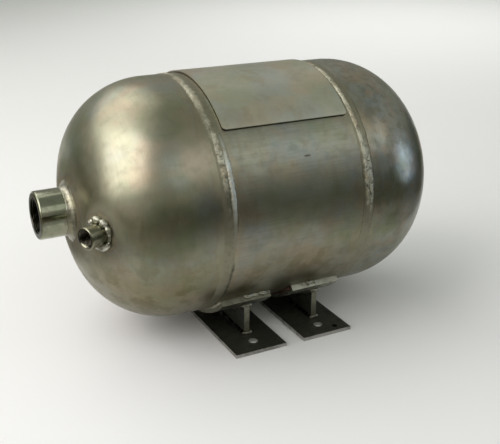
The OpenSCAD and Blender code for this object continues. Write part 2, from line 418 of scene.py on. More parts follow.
satin = {"warm": (0.395, 0.312, 0.222), "green": (0.245, 0.285, 0.17), "cool": (0.285, 0.32, 0.315),
         "dark": (0.185, 0.18, 0.13), "brown": (0.25, 0.20, 0.135), "soot": (0.10, 0.09, 0.055),
         "padEdgeGlint": (0.47, 0.46, 0.38), "padEdgeShade": (0.025, 0.025, 0.02), "scar": (0.07, 0.065, 0.05),
         "lowShade": (0.142, 0.123, 0.056), "lowShadeEnd": 30 * mm, "lowShadeFull": -120 * mm, "nearPatch": 0.026,
         "trailWidth": 0.03, "trails": 0.35, "specks": 0.3, "blots": 0.6, "seamHeat": 0.016, "seamTint": 0.35,
         "pipeTint": 0.85, "pipeDull": 0.36, "padEdgeGlintShare": 0.7, "padEdgeShadeShare": 0.85, "scars": 0.75,
         "bump": 0.00003}


# satin stainless: stained base colour, heat tint by the welds, sanding marks in the bump and the gloss
def satinSteel(name, look, seed, seams=True, padEdgeShade=False, pipes=()):
    material, shader, spot = newMaterial(name)
    where = place(vesselPlace, Vector=spot)
    moved = vectorCalc("ADD", spot, (seed, 0.3 * seed, 0.7 * seed))[0]
    broad = place(steelStain, Vector=moved, Size=look["patch"])
    near = place(steelStain, Vector=moved, Size=satin["nearPatch"])
    trails = place(runMarks, Vector=moved, Width=satin["trailWidth"])[0]
    colour = look["base"]
    for key, mask, weight in (
            ("green", broad["Green"], look["greenness"]), ("cool", broad["Cool"], look["coolness"]),
            ("warm", broad["Warm"], look["warmth"]), ("dark", broad["Dark"], look["smear"]),
            ("brown", trails, satin["trails"]), ("warm", near["Warm"], look["mottle"]),
            ("dark", near["Dark"], look["mottle"]), ("dark", near["Speck"], satin["specks"])):
        colour = tint(colour, shade(satin[key], look["tone"]), mask, weight)
    # painted shade: the colour turns a dark yellow-brown towards the bottom of the vessel, mottled by a
    # stain, standing in for the shade and dull reflections of its underside
    lowShadeMask = fall(minus(split(spot)[2], axisZ), satin["lowShadeFull"], satin["lowShadeEnd"])
    lowShadeMask = times(times(lowShadeMask, addShare(0.65, near["Green"], 0.55)), look["lowShade"])
    colour = mixColour(calc("MINIMUM", lowShadeMask, 0.9), colour, satin["lowShade"])
    along, around = look["grain"]
    grain = place(sandedGrain, Vector=spot, Wave=look["wave"], Along=along, Round=around)
    streaks = step(grain["Streak"], 0.4, 0.75)
    colour = tint(colour, shade(satin["dark"], look["tone"]), streaks, look["streak"])
    if seams:
        gaps = [minus(absolute(minus(where["Along"], at)), capHalf) for at in (frontWeldX, rearWeldX)]
        heat = place(heatTint, Vector=spot, Distance=calc("MINIMUM", *gaps), Width=satin["seamHeat"])
        colour = tint(colour, heat["Colour"], heat["Mask"], satin["seamTint"])
    for mark in look.get("blots", ()):
        mask = times(blot(where["Along"], where["Arc"], mark), addShare(0.55, near["Cool"], 0.45))
        colour = tint(colour, mark["colour"], mask, satin["blots"])
    gloss = addShare(look["roughness"] - 0.06, near["Dark"], 0.06)
    gloss = addShare(gloss, grain["Streak"], 0.10)
    dull = 0.0
    for pipe in pipes:
        aside = vectorCalc("CROSS_PRODUCT", vectorCalc("SUBTRACT", spot, pipe["origin"])[0], pipe["way"])[0]
        gap = minus(vectorCalc("LENGTH", aside)["Value"], pipe["toe"])
        heat = place(heatTint, Vector=spot, Distance=gap, Width=pipe["heat"])
        colour = tint(colour, heat["Colour"], heat["Mask"], satin["pipeTint"])
        dull = calc("MAXIMUM", dull, fall(gap, 0.0, 3 * pipe["heat"]))
        sooty = fall(gap, 0.5 * pipe["heat"], 3.2 * pipe["heat"])
        sooty = times(sooty, addShare(0.6, near["Green"], 0.5))
        colour = tint(colour, satin["soot"], sooty, pipe["soot"])
    if pipes:
        gloss = addShare(gloss, dull, satin["pipeDull"])
    if padEdgeShade:
        # painted shade and painted highlight along the top pad's edge: a near-black line at its foot, where
        # the gap to the shell lies in shade, and a pale line on its upper edge, where it catches the light
        gap = absolute(place(padOutline, Vector=spot)[0])
        line = fall(gap, 0.5 * padFace["line"], padFace["line"])
        upper = step(minus(where["Radius"], shellR), 0.45 * padFace["thick"], 0.75 * padFace["thick"])
        colour = tint(colour, satin["padEdgeGlint"], times(line, upper), satin["padEdgeGlintShare"])
        colour = tint(colour, satin["padEdgeShade"], times(line, minus(1.0, upper)), satin["padEdgeShadeShare"])
        colour = tint(colour, satin["scar"], blot(where["Along"], where["Arc"], shellScar), satin["scars"])
    normal = None
    if "pole" in look:
        # the middle of the head takes its faces' own normal, since the mesh's smooth one leans there
        faces = put(shader.id_data, "ShaderNodeNewGeometry").outputs
        blend = put(shader.id_data, "ShaderNodeMix", data_type="VECTOR")
        feed(blend.inputs[0], step(where["Radius"], 0.97 * look["pole"], look["pole"]))
        feed(blend.inputs[4], faces["True Normal"])
        feed(blend.inputs[5], faces["Normal"])
        normal = blend.outputs[1]
    dress(shader, colour, gloss, grain["Height"], satin["bump"], normal)
    return material


# weld metal: pale on the crests and brown in the hollows by the bead's own height, cool on smooth passes,
# painted shade in the creases, dark on the pits, with oxide in patches
def weldMetal(name, base, hollow, oxide, roughness):
    material, shader, spot = newMaterial(name)
    stain = place(steelStain, Vector=spot, Size=0.016)
    crest, smooth, creaseShadeAndPits = (pointValue(shader, label) for label in ("crest", "smooth", "creaseShadeAndPits"))
    colour = tint(base, oxide, stain["Warm"], 0.7)
    colour = tint(colour, shade(hollow, 0.4), stain["Dark"], 0.55)
    colour = mixColour(step(crest, 0.05, 0.85), hollow, colour)
    film = addShare(0.95, stain["Warm"], -0.45)
    colour = tint(colour, (0.60, 0.66, 0.65), smooth, film)
    colour = tint(colour, shade(hollow, 0.22), creaseShadeAndPits, 0.85)
    dress(shader, colour, addShare(roughness - 0.1, crest, 0.15), noise(spot, 600.0, 3, 0.6), 0.0002)
    return material


# turned steel: fine rings square to the axis, by the piece's own map, with a few stains, painted shade
# near-black on the threaded bore and painted shade on the rim's end face
def turnedSteel(name, base, green, roughness):
    material, shader, spot = newMaterial(name)
    across, along = split(put(shader.id_data, "ShaderNodeUVMap", uv_map="turning").outputs[0])[:2]
    rings = noise(join(times(across, 3.0), times(along, 2600.0), 0.0), 1.0, 3, 0.6)
    stain = place(steelStain, Vector=spot, Size=0.02)
    colour = tint(base, green, stain["Green"], 0.5)
    colour = tint(colour, (0.16, 0.15, 0.11), stain["Dark"], 0.4)
    # painted shade: near-black on the threads in the bore, where the recess lies in shade
    boreShade = fall(pointValue(shader, "fromThread"), 0.0, 0.7 * mm)
    colour = tint(colour, (0.03, 0.026, 0.02), boreShade, 0.92)
    # painted shade: the rim's end face dark, standing in for the dark it reflects
    mouth = step(pointValue(shader, "mouth"), 0.5, 0.95)
    colour = tint(colour, (0.05, 0.047, 0.04), mouth, addShare(0.9, stain["Warm"], -0.35))
    gloss = addShare(addShare(roughness - 0.04, stain["Dark"], 0.15), rings, 0.06)
    dress(shader, colour, gloss, rings, 0.00004)
    return material


# foot plate: plain mild plate, grey and lightly stained
def footSteel(name, base):
    material, shader, spot = newMaterial(name)
    stain = place(steelStain, Vector=spot, Size=0.02)
    colour = tint(base, shade(base, 0.75), stain["Warm"], 0.6)
    colour = tint(colour, (0.16, 0.15, 0.12), stain["Dark"], 0.6)
    dress(shader, colour, addShare(0.42, stain["Dark"], 0.15), noise(spot, 900.0, 3, 0.6), 0.00008)
    return material


# mill scale: near black on rolled faces and bare steel on cut faces; flatWay is the rolled faces' axis
def millScale(name, flatWay, bright, dull):
    material, shader, spot = newMaterial(name)
    stain = place(steelStain, Vector=spot, Size=0.03)
    scale = tint((0.024, 0.025, 0.018), (0.036, 0.034, 0.024), stain["Warm"], 0.7)
    scale = tint(scale, (0.009, 0.009, 0.008), stain["Dark"], 0.5)
    scale = tint(scale, (0.06, 0.058, 0.046), stain["Speck"], 0.5)
    # a near-black round spot on one plate, with less gloss
    darkSpot = blot(*split(spot)[:2], plateDarkSpot)
    scale = mixColour(darkSpot, scale, (0.003, 0.003, 0.003))
    face = split(put(shader.id_data, "ShaderNodeNewGeometry").outputs["Normal"])
    cut = fall(absolute(face[flatWay]), 0.4, 0.7)
    bare = tint(bright, dull, stain["Dark"], 0.8)
    feed(shader.inputs["Specular IOR Level"], times(minus(1.0, darkSpot), 0.5))
    feed(shader.inputs["Metallic"], cut)
    gloss = addShare(0.44, stain["Dark"], 0.2)
    dress(shader, mixColour(cut, scale, bare), gloss, noise(spot, 500.0, 4, 0.6), 0.00015)
    return material


# heat marks round the two couplings, and the looks of the satin pieces
mainHeat = {"origin": (0.0, 0.0, axisZ), "way": (1.0, 0.0, 0.0), "toe": 40 * mm, "heat": 14 * mm,
            "soot": 0.6}
sideHeat = {"origin": (frontWeldX - head["flange"], -knuckleX, axisZ), "way": (-0.9135, -0.4067, 0.0),
            "toe": 22 * mm, "heat": 7 * mm, "soot": 0.25}
shellLook = {"base": (0.343, 0.344, 0.272), "tone": 1.0, "warmth": 0.66, "greenness": 0.85, "coolness": 0.75,
             "lowShade": 0.7, "patch": 0.08, "smear": 0.24, "mottle": 0.22, "streak": 0.3, "roughness": 0.36,
             "wave": 1.0, "grain": (22.0, 420.0)}
headLook = {"base": (0.321, 0.318, 0.228), "tone": 1.0, "warmth": 0.55, "greenness": 0.75, "coolness": 0.42,
            "lowShade": 0.9, "patch": 0.08, "smear": 0.27, "mottle": 0.18, "streak": 0.2, "roughness": 0.34,
            "wave": 1.0, "grain": (900.0, 40.0), "blots": headBlots}
rearLook = {"base": (0.336, 0.352, 0.31), "tone": 1.0, "warmth": 0.55, "greenness": 0.8, "coolness": 0.75,
            "lowShade": 0.5, "patch": 0.065, "smear": 0.6, "mottle": 0.5, "streak": 0.25, "roughness": 0.3,
            "wave": 3.2, "grain": (900.0, 40.0), "pole": 9.6 * mm}
# painted light: the pad is a lighter copy of the shell's satin steel, its base near twice as pale and its
# stains lifted, standing in for the brighter light it takes from above
padLitLook = {"base": (0.606, 0.59, 0.49), "tone": 1.67, "warmth": 0.45, "greenness": 0.35, "coolness": 0.42,
           "lowShade": 0.0, "patch": 0.07, "smear": 0.15, "mottle": 0.06, "streak": 0.08, "roughness": 0.34,
           "wave": 0.8, "grain": (22.0, 420.0)}
shellSteel = satinSteel("shellSteel", shellLook, 0.0, padEdgeShade=True)
headSteel = satinSteel("headSteel", headLook, 2.3, pipes=(mainHeat, sideHeat))
rearHeadSteel = satinSteel("rearHeadSteel", rearLook, 5.1)
padLitSteel = satinSteel("padLitSteel", padLitLook, 8.4, seams=False, padEdgeShade=True)
girthMetal = weldMetal("girthMetal", (0.66, 0.635, 0.505), (0.235, 0.222, 0.155), (0.49, 0.42, 0.29), 0.5)
coveMetal = weldMetal("coveMetal", (0.42, 0.405, 0.325), (0.20, 0.19, 0.13), (0.29, 0.28, 0.185), 0.33)
filletMetal = weldMetal("filletMetal", (0.52, 0.515, 0.43), (0.15, 0.15, 0.105), (0.35, 0.345, 0.25), 0.35)
footMetal = weldMetal("footMetal", (0.36, 0.36, 0.29), (0.10, 0.095, 0.07), (0.25, 0.23, 0.165), 0.36)
rustMetal = weldMetal("rustMetal", (0.12, 0.07, 0.048), (0.035, 0.022, 0.016), (0.105, 0.05, 0.032), 0.6)
scaleMetal = weldMetal("scaleMetal", (0.27, 0.265, 0.21), (0.022, 0.021, 0.017), (0.12, 0.11, 0.08), 0.4)
couplingSteel = turnedSteel("couplingSteel", (0.304, 0.306, 0.224), (0.215, 0.244, 0.162), 0.15)
sideSteel = turnedSteel("sideSteel", (0.255, 0.25, 0.18), (0.19, 0.2, 0.135), 0.25)
plateSteel = footSteel("plateSteel", (0.196, 0.193, 0.145))
palePlateSteel = footSteel("palePlateSteel", (0.465, 0.465, 0.38))
baseScale = millScale("baseScale", 2, (0.42, 0.41, 0.38), (0.24, 0.23, 0.2))
webScale = millScale("webScale", 0, (0.30, 0.295, 0.225), (0.19, 0.18, 0.13))
for node, material in (("shell", shellSteel), ("front_head", headSteel), ("rear_head", rearHeadSteel),
                       ("top_pad", padLitSteel), ("front_saddle", plateSteel), ("rear_saddle", palePlateSteel),
                       ("front_web", webScale), ("rear_web", webScale),
                       ("front_base_plate", baseScale), ("rear_base_plate", baseScale)):
    nodes[node].data.materials.clear()
    nodes[node].data.materials.append(material)
print("materials made:", len(bpy.data.materials))

# girth bead: passes side by side round the vessel, each a bell across its width with a row of drops along
# it; a pass is tallest at its focus, an angle from the top, and drifts sideways below it; the tallest pass at
# a spot shows above a low lens, painted shade lines run along slight dips between two angles, the cap is
# ground flush beside a saddle, and below it the bead fills the groove down to the root
girthBead = {"around": 1920, "across": 47, "over": 2.5 * mm, "lens": 0.35 * mm, "lensPale": 0.22,
             "rootHalf": 1 * mm, "grooveHalf": 4.695 * mm, "sunk": 0.15 * mm, "film": 0.06 * mm,
             "filmFrom": 0.12, "sway": 0.55 * mm, "swayWaves": (180 * mm, 70 * mm, 31 * mm),
             "driftFrom": 35, "driftOver": 30,
             "swell": 0.3, "swellWaves": (60 * mm, 23 * mm, 9 * mm, 5 * mm),
             "rise": 0.2, "riseWaves": (120 * mm, 45 * mm, 20 * mm), "reach": 0.72, "bell": 1.4,
             "crumb": 0.16, "wander": 0.8 * mm, "wanderWaves": (60 * mm, 26 * mm, 11 * mm),
             "breaks": 0.6, "breakWaves": (40 * mm, 17 * mm, 8 * mm), "fadeOver": 6,
             "groundRoom": 5 * mm, "groundAngle": 43.4}
frontPasses = (
    {"at": -3.4, "drift": 0.0, "half": 6.6, "tall": 1.2, "ripple": 0.4, "spacing": 9.0, "cool": 0.0,
     "pale": 0.9, "pits": 0.3, "focus": 20, "spread": 28, "least": 0.1},
    {"at": -1.8, "drift": 1.2, "half": 5.4, "tall": 1.5, "ripple": 0.7, "spacing": 8.0, "cool": 0.0,
     "pale": 1.3, "pits": 0.8, "focus": 57, "spread": 15, "least": 0.2},
    {"at": 6.4, "drift": 0.8, "half": 4.2, "tall": 2.0, "ripple": 0.1, "spacing": 11.0, "cool": 1.0,
     "pale": 1.1, "pits": 0.0, "focus": 69, "spread": 15, "least": 0.04})
frontCreases = (
    {"at": 2.6, "half": 1.3, "deep": 0.3, "from": 62, "to": 84, "dark": 0.7},
    {"at": 11.0, "half": 0.6, "deep": 0.1, "from": 66, "to": 92, "dark": 0.8},
    {"at": -0.6, "half": 2.6, "deep": 0.1, "from": 65, "to": 82, "dark": 0.5},
    {"at": 7.6, "half": 1.9, "deep": 0.3, "from": 104, "to": 150, "dark": 1.0})
rearPasses = (
    {"at": -3.0, "drift": 2.0, "half": 4.2, "tall": 1.7, "ripple": 0.3, "spacing": 9.0, "cool": 0.0,
     "pale": 1.4, "pits": 0.3, "focus": 34, "spread": 40, "least": 0.08},
    {"at": -2.2, "drift": 0.6, "half": 4.6, "tall": 1.6, "ripple": 0.7, "spacing": 8.0, "cool": 0.0,
     "pale": 1.15, "pits": 1.0, "focus": 74, "spread": 15, "least": 0.16},
    {"at": 3.6, "drift": 0.0, "half": 4.6, "tall": 1.3, "ripple": 0.7, "spacing": 9.0, "cool": 0.15,
     "pale": 0.9, "pits": 1.0, "focus": 76, "spread": 17, "least": 0.1})
rearCreases = (
    {"at": 8.4, "half": 0.7, "deep": 0.2, "from": 34, "to": 96, "dark": 0.9},
    {"at": -7.6, "half": 0.7, "deep": 0.2, "from": 62, "to": 108, "dark": 0.6})


def girthWeld(name, midX, passes, creases, saddleNode, seed, node):
    draw = np.random.default_rng(seed)
    u = np.arange(girthBead["around"]) / girthBead["around"]
    length = tau * shellR
    run = u * length
    fromTop = np.degrees(np.abs((tau * u + math.pi) % tau - math.pi))
    reach = capHalf + girthBead["over"]
    across = np.linspace(-reach, reach, girthBead["across"])
    heights = [np.tile(girthBead["lens"] * np.clip(1 - (across / capHalf) ** 2, 0, 1), (len(u), 1))]
    crests, cools = [girthBead["lensPale"] * np.ones_like(heights[0])], [0 * heights[0]]
    dark = np.zeros_like(heights[0])

    def waves(label, strength):
        return waviness(run, length, girthBead[label], girthBead[strength], draw)

    drift = np.clip((fromTop - girthBead["driftFrom"]) / girthBead["driftOver"], 0, 1)
    for look in passes:
        at = look["at"] * mm + waves("swayWaves", "sway") + look["drift"] * mm * drift
        half = look["half"] * mm * (1 + waves("swellWaves", "swell"))
        level = np.exp(-((fromTop - look["focus"]) / look["spread"]) ** 2)
        level = look["least"] + (1 - look["least"]) * level
        level = (level * (1 + waves("riseWaves", "rise")))[:, None]
        t = (across[None, :] - at[:, None]) / half[:, None]
        spacing = look["spacing"] * mm
        drops = dropRow(run[:, None] + 0.25 * spacing * t * t, t, length, spacing, girthBead["reach"], draw)
        drops = np.clip(drops + girthBead["crumb"] * crumble(t.shape, 4, draw), 0, 1.2)
        rippled = 1 - look["ripple"] * (1 - drops)
        hump = np.clip(1 - t * t, 0, None) ** girthBead["bell"]
        heights.append(look["tall"] * mm * level * hump * rippled)
        crests.append(np.clip(look["pale"] * level * hump ** 0.7 * rippled, 0, 1))
        pits = np.clip(crumble(t.shape, 2, draw) - 0.7, 0, 1) * level * hump ** 0.5
        dark = np.maximum(dark, look["pits"] * pits)
        cools.append(look["cool"] * level * hump)
    heights = np.stack(heights)
    top = heights.argmax(0)[None]
    cap, crest, cool = (np.take_along_axis(np.stack(v), top, 0)[0] for v in (heights, crests, cools))
    # painted shadow lines beside the passes, over slight dips, from one angle to another
    for look in creases:
        at = look["at"] * mm + waves("wanderWaves", "wander")
        begun = np.clip((fromTop - look["from"]) / girthBead["fadeOver"], 0, 1)
        shown = begun * np.clip((look["to"] - fromTop) / girthBead["fadeOver"], 0, 1)
        shown = shown * np.clip(0.75 + waves("breakWaves", "breaks"), 0, 1)
        mark = shown[:, None] * np.exp(-((across[None, :] - at[:, None]) / (look["half"] * mm)) ** 2)
        cap = cap - look["deep"] * mm * mark
        dark = np.maximum(dark, look["dark"] * mark)
    low, high = boxOf(saddleNode)
    room = girthBead["groundRoom"]
    beside = (midX + across > low[0] - room) & (midX + across < high[0] + room)
    ground = (fromTop > 180 - girthBead["groundAngle"])[:, None] & beside[None, :]
    cap = np.where(ground, 0, np.clip(cap, 0, 0.99 * capHeight))
    cap = cap - girthBead["sunk"] * np.clip(np.abs(across) / capHalf, 0, 1) ** 4
    cap = np.where((dark > girthBead["filmFrom"]) & ~ground, np.maximum(cap, girthBead["film"]), cap)
    deep = np.array([[girthBead["grooveHalf"], -girthBead["sunk"]], [girthBead["rootHalf"], -head["wall"]],
                     [-girthBead["rootHalf"], -head["wall"]], [-girthBead["grooveHalf"], -girthBead["sunk"]]])
    along = np.concatenate([np.broadcast_to(across, cap.shape), np.tile(deep[:, 0], (len(u), 1))], 1)
    radius = shellR + np.concatenate([cap, np.tile(deep[:, 1], (len(u), 1))], 1)
    turn = (tau * u)[:, None]
    points = np.stack([midX + along, radius * np.sin(turn), axisZ + radius * np.cos(turn)], -1)
    under = np.zeros((len(u), len(deep)))
    values = {label: np.concatenate([value, under], 1)
              for label, value in (("crest", crest), ("smooth", cool), ("creaseShadeAndPits", dark))}
    return ridePiece(gridPiece(name, points, True, True, values=values), "weld", girthMetal, node)


girthWeld("frontGirthBead", frontWeldX, frontPasses, frontCreases, "front_saddle", 11, "front_girth_weld")
girthWeld("rearGirthBead", rearWeldX, rearPasses, rearCreases, "rear_saddle", 12, "rear_girth_weld")
print("girth beads laid")


# fillet bead: each point is the straight blend from the upper edge to the toe, bowed out from the root or
# hollowed; slow waves and a row of drops swell it about the root, an open bead is rounded off at its ends,
# and pale scales how pale its crests are: where it is low the bead takes its hollow colour as painted shade
def filletBead(name, top, toe, root, look, material, node, seed, closed, pale=None):
    draw = np.random.default_rng(seed)
    middle = (top + toe) / 2
    gaps = np.linalg.norm(np.diff(middle, axis=0, append=middle[:1]), axis=1)
    length = gaps.sum() if closed else gaps[:-1].sum()
    run = np.concatenate([[0], np.cumsum(gaps[:-1])])
    v = np.linspace(0, 1, look["across"])[None, :]
    t = 2 * v - 1
    if "lumps" in look:
        drops = lumpRow(run[:, None], t, length, look["lumps"])
        drops = np.clip(drops + look["crumb"] * crumble(drops.shape, 4, draw), 0, 1.1)
    else:
        curved = run[:, None] + 0.3 * look["spacing"] * t * t
        drops = dropRow(curved, t, length, look["spacing"], look["reach"], draw)
    swell = 1 + waviness(run, length, look["waveLengths"], look["wave"], draw)[:, None]
    if not closed:
        toEnd = np.minimum(run, length - run)[:, None]
        ends = np.clip(toEnd / look["taper"], 0, 1)
        swell = swell * (1 + look["endBlob"] * np.exp(-(toEnd / look["taper"] - 1) ** 2))
        swell = swell * np.sqrt(np.clip(1 - (1 - ends) ** 2, 0, 1))
    swell = np.clip(swell, 0, look["most"]) * (1 - look["lump"] * (1 - drops))
    face = top[:, None] * (1 - v[..., None]) + toe[:, None] * v[..., None] - root[:, None]
    out = unit(middle - root)[:, None]
    size = np.linalg.norm(toe - top, axis=1)[:, None]
    bow = (4 * v * (1 - v) * size * look["bow"])[..., None]
    face = root[:, None] + swell[..., None] * (face + out * bow)
    points = np.concatenate([face, root[:, None]], 1)
    crest = (1 - look["lump"] * 1.5 * (1 - drops)) * (0.55 + 0.45 * np.sqrt(4 * v * (1 - v)))
    if pale is not None:
        crest = crest * pale[:, None]
    crest = np.concatenate([np.clip(crest, 0, 1), np.zeros((len(run), 1))], 1)
    values = {"crest": crest, "smooth": 0 * crest, "creaseShadeAndPits": 0 * crest}
    return ridePiece(gridPiece(name, points, closed, True, values=values), "weld", material, *node)


# distance of points from the outside of the front head: from the crown's sphere or from the knuckle's ring
def headDistance(p):
    out = frontWeldX - p[..., 0]
    away = np.hypot(p[..., 1], p[..., 2] - axisZ)
    crown = np.hypot(away, out - crownY) - head["crown"]
    knuckle = np.hypot(away - knuckleX, out - head["flange"]) - head["knuckle"]
    inCrown = (away - knuckleX) * crownDrop < (out - head["flange"]) * knuckleX
    return np.where(inCrown, crown, knuckle)


# where lines along a direction meet the front head, by halving the span between inside and outside
def meetHead(start, way, low, high):
    low, high = np.full(start.shape[:-1], low), np.full(start.shape[:-1], high)
    for turn in range(40):
        mid = (low + high) / 2
        inside = headDistance(start + mid[..., None] * way) < 0
        low, high = np.where(inside, mid, low), np.where(inside, high, mid)
    return low


# unit vectors square to a pipe's line, one for each turn
def spokes(turn, way, side):
    return np.cos(turn)[:, None] * side + np.sin(turn)[:, None] * np.cross(way, side)


# coupling weld: the upper edge runs round the pipe and the toe on the head, both found along the pipe's line
def couplingWeld(name, origin, way, side, pipeR, look, material, node, seed, pale=None):
    spoke = spokes(np.arange(look["around"]) / look["around"] * tau, way, side)
    inner, outer = origin + pipeR * spoke, origin + (pipeR + look["legOut"]) * spoke
    innerAt, outerAt = meetHead(inner, way, *look["span"]), meetHead(outer, way, *look["span"])
    top = inner + (innerAt + look["legUp"])[:, None] * way
    toe = outer + outerAt[:, None] * way
    root = inner - 0.3 * mm * spoke + (innerAt - 0.4 * mm)[:, None] * way
    return filletBead(name, top, toe, root, look, material, [node], seed, True, pale)


mainLow, mainHigh = boxOf("main_coupling")
mainPipe = {"radius": float(mainHigh[2] - mainLow[2]) / 2, "bore": 22 * mm, "chamfer": 2 * mm,
            "edge": 3.3 * mm, "pitch": 2.209 * mm, "threadDepth": 1.5 * mm, "threadRun": 26 * mm}
sidePipe = {"radius": 14.3 * mm, "bore": 9.05 * mm, "chamfer": 2 * mm, "edge": 2.0 * mm, "angle": 24.0,
            "reach": 25 * mm, "inset": 3 * mm, "pitch": 1.814 * mm, "threadDepth": 1.2 * mm,
            "threadRun": 19 * mm, "unshadedAngle": -95.0, "unshadedHalf": 34.0, "unshadedDepth": 5 * mm}
mainBead = {"around": 640, "across": 16, "spacing": 7.0 * mm, "reach": 0.8, "lump": 0.13, "bow": -0.2,
            "wave": 0.1, "waveLengths": (60 * mm, 28 * mm, 15 * mm), "most": 1.1,
            "legUp": 9.0 * mm, "legOut": 9.0 * mm, "span": (0.1, 0.17)}
sideBead = {"around": 480, "across": 24, "lump": 0.55, "bow": 0.3, "crumb": 0.025,
            "lumps": ((100, 24, 1.0), (60, 22, 1.0), (24, 24, 0.72), (-60, 38, 0.95), (-108, 26, 0.75),
                      (145, 28, 0.8), (190, 30, 0.7), (222, 26, 0.8)),
            "wave": 0.08, "waveLengths": (22 * mm, 12 * mm), "most": 1.35,
            "legUp": 8.4 * mm, "legOut": 8.8 * mm, "span": (0.08, 0.14)}
mainOrigin = np.array([frontWeldX, 0, axisZ])
mainWay = np.array([-1.0, 0, 0])
mainSide = np.array([0, 0, 1.0])
# painted shade: the main fillet's crests are pale above and dark below, by the angle round the pipe
mainTurn = tau * np.arange(mainBead["around"]) / mainBead["around"]
mainShadedBelow = np.clip(0.15 + (np.cos(mainTurn) + 0.15) / 0.35, 0.15, 1)
couplingWeld("mainCouplingBead", mainOrigin, mainWay, mainSide, mainPipe["radius"], mainBead, coveMetal,
             "main_coupling_weld", 21, mainShadedBelow)
lean = math.radians(sidePipe["angle"])
sideOrigin = np.array([frontWeldX - head["flange"], -knuckleX, axisZ])
sideWay = np.array([-math.cos(lean), -math.sin(lean), 0])
sideAcross = np.array([math.sin(lean), -math.cos(lean), 0])
couplingWeld("sideCouplingBead", sideOrigin, sideWay, sideAcross, sidePipe["radius"], sideBead, filletMetal,
             "side_coupling_weld", 22)
print("coupling beads laid")


# coupling: a closed profile turned about the pipe's line; in the bore a pointed thread climbs one pitch a
# turn, and the painted shade of its rim face and bore may be left off about one angle
def coupling(name, origin, way, side, low, high, look, around, material, node):
    r, bore, cut, edge = look["radius"], look["bore"], look["chamfer"], look["edge"]
    rows = max(8, int(look["threadRun"] / look["pitch"] * 8))
    bend = np.linspace(0, math.pi / 2, 7)
    rim = [(r - edge + edge * math.cos(a), high - edge + edge * math.sin(a)) for a in bend]
    outer = [(bore, low), (r, low), (r, (low + high) / 2), *rim,
             (bore + cut, high), (bore + 0.5 * cut, high - 0.5 * cut)]
    depths = np.linspace(high - cut, high - cut - look["threadRun"], rows)
    profile = np.array(outer + [(bore, d) for d in depths] + [(bore, low + 0.5 * mm)])
    turn = np.arange(around) / around
    radii = np.tile(profile[:, 0], (around, 1))
    phase = depths[None, :] / look["pitch"] - turn[:, None]
    tooth = np.abs(2 * (phase - np.floor(phase)) - 1)
    fade = np.clip((depths - depths[-1]) / (3 * look["pitch"]), 0, 1)[None, :]
    first = len(outer)
    radii[:, first:first + rows] += look["threadDepth"] * np.clip(1.25 * tooth - 0.12, 0, 1) * fade
    spoke = spokes(tau * turn, way, side)
    points = origin + radii[..., None] * spoke[:, None] + profile[None, :, 1:2] * way
    piece = gridPiece(name, points, True, True, sharp=38)
    spots = np.empty(len(piece.data.vertices) * 3, np.float32)
    piece.data.vertices.foreach_get("co", spots)
    spots = spots.reshape(-1, 3) - origin
    corners = np.empty(len(piece.data.loops), np.int32)
    piece.data.loops.foreach_get("vertex_index", corners)
    angle = np.arctan2(spots @ np.cross(way, side), spots @ side) / tau
    height = spots @ way
    both = np.stack([np.cos(tau * angle), height], 1)[corners]
    piece.data.uv_layers.new(name="turning").data.foreach_set("uv", both.astype(np.float32).ravel())
    away = np.linalg.norm(spots - height[:, None] * way, axis=1) - bore - look["threadDepth"]
    face = np.clip((height - high + edge) / edge, 0, 1) * (away < r - bore - look["threadDepth"] - 0.6 * edge)
    # in this window the painted shade of the rim face and the bore is left off, so the threads there catch
    # the light
    if "unshadedAngle" in look:
        gap = np.abs((360 * angle - look["unshadedAngle"] + 180) % 360 - 180)
        bare = np.clip(1.5 - gap / look["unshadedHalf"], 0, 1) * (height > high - look["unshadedDepth"])
        away, face = away + look["threadDepth"] * bare, face * (1 - bare)
    setValues(piece.data, {"fromThread": away, "mouth": face})
    return ridePiece(piece, "machined", material, node)


coupling("mainCoupling", mainOrigin, mainWay, mainSide, frontWeldX - float(mainHigh[0]),
         frontWeldX - float(mainLow[0]), mainPipe, 224, couplingSteel, "main_coupling")
coupling("sideCoupling", sideOrigin, sideWay, sideAcross, head["knuckle"] - head["wall"] - sidePipe["inset"],
         head["knuckle"] + sidePipe["reach"], sidePipe, 160, sideSteel, "side_coupling")
print("couplings turned and threaded")

saddleBead = {"around": 420, "across": 12, "spacing": 7.0 * mm, "reach": 0.64, "lump": 0.45, "bow": 0.2,
              "wave": 0.2, "waveLengths": (70 * mm, 26 * mm, 12 * mm), "taper": 6 * mm, "endBlob": 0.3,
              "most": 1.3, "leg": 3.8 * mm, "halfAngle": 42.8}
stitchBead = {"count": 160, "across": 14, "spacing": 6.5 * mm, "reach": 0.85, "lump": 0.5, "bow": 0.24,
              "wave": 0.3, "waveLengths": (24 * mm, 13 * mm, 9 * mm), "taper": 7 * mm, "endBlob": 0.1,
              "most": 1.25, "leg": 5.0 * mm, "endAngle": 43.0}
footBead = {"along": 120, "bend": 14, "across": 12, "spacing": 6.0 * mm, "reach": 0.64, "lump": 0.4,
            "bow": 0.2, "wave": 0.2, "waveLengths": (50 * mm, 21 * mm, 11 * mm), "most": 1.25,
            "leg": 4.6 * mm}


# directions square to the vessel's axis at angles from straight down
def downward(turn):
    return np.stack([0 * turn, np.sin(turn), -np.cos(turn)], 1)


# points on the vessel's axis
def onAxis(x):
    return np.stack([x, 0 * x, np.full_like(x, axisZ)], 1)


